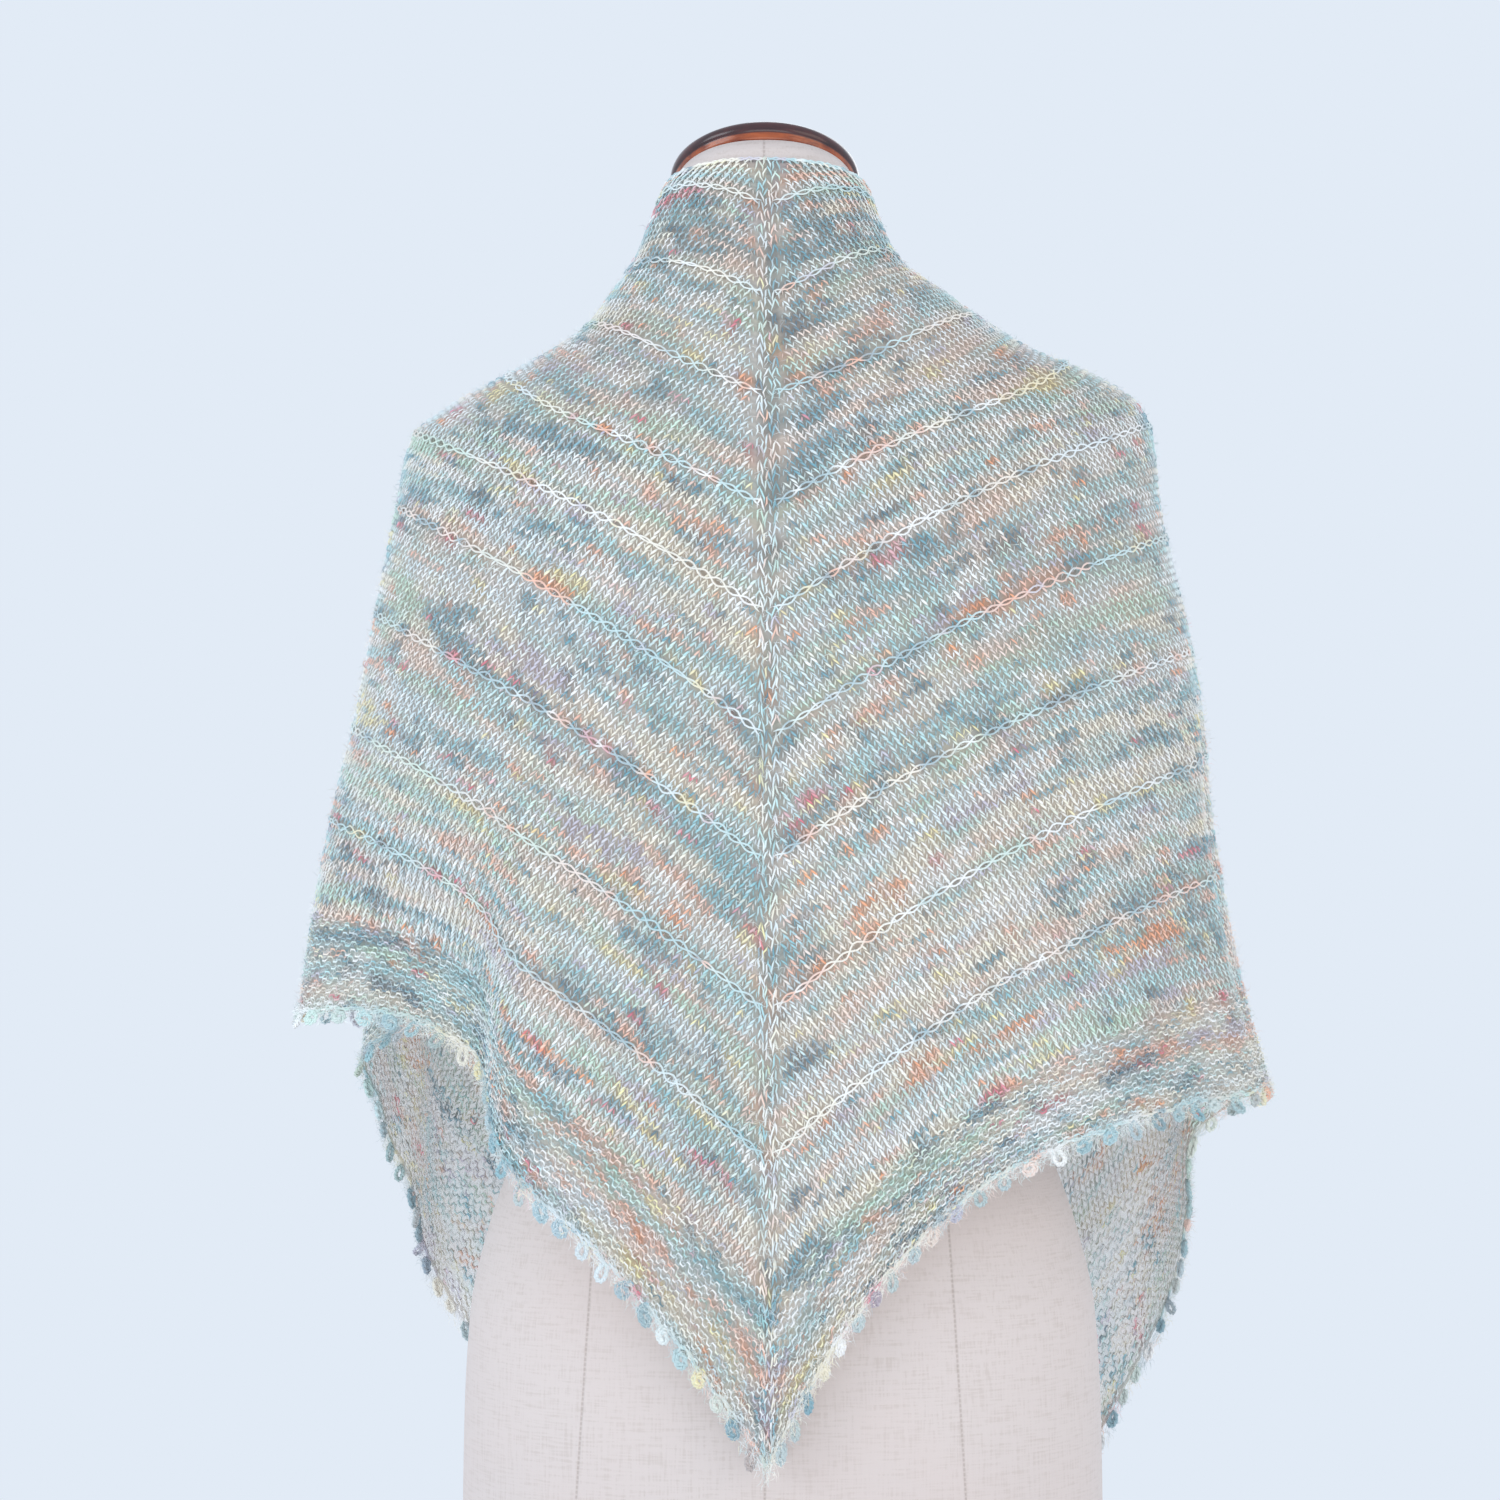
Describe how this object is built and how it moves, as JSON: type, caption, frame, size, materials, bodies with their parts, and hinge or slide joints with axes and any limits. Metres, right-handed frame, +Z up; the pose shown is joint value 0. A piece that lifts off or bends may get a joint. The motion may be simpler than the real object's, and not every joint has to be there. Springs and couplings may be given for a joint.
{
  "type": "knitted mohair shawl on a tabletop dress form",
  "caption": "Triangular hand-knitted mohair shawl with eyelet ridges, garter border and picot edge, draped over the shoulders of a limbless linen dress form with a wooden neck cap",
  "frame": {"origin": "On the flat base of the dress form, below the neck, which is where the part stands", "axes": "+Z up; the wearer's back, with the point of the shawl, faces -Y; the wearer's left is -X"},
  "size_m": [0.4932, 0.27, 0.796],
  "materials": {
    "aqua_mohair": "hand-dyed brushed mohair stocking stitch, pale aqua speckled with teal, coral, orange and cream",
    "garter_mohair": "hand-dyed brushed mohair garter stitch and picots",
    "oatmeal_linen": "slubbed natural linen",
    "varnished_wood": "dark glossy varnish"
  },
  "bodies": {
    "root": {"dress_form": "oatmeal_linen", "neck_cap": "varnished_wood", "spine_column": "aqua_mohair", "back_wing_left": "aqua_mohair", "back_wing_right": "aqua_mohair", "front_wing_left": "aqua_mohair", "front_wing_right": "aqua_mohair", "back_border_left": "garter_mohair", "back_border_right": "garter_mohair", "front_border_left": "garter_mohair", "front_border_right": "garter_mohair", "back_picots_left": "garter_mohair", "back_picots_right": "garter_mohair", "front_picots_left": "garter_mohair", "front_picots_right": "garter_mohair"}
  },
  "joints": []
}
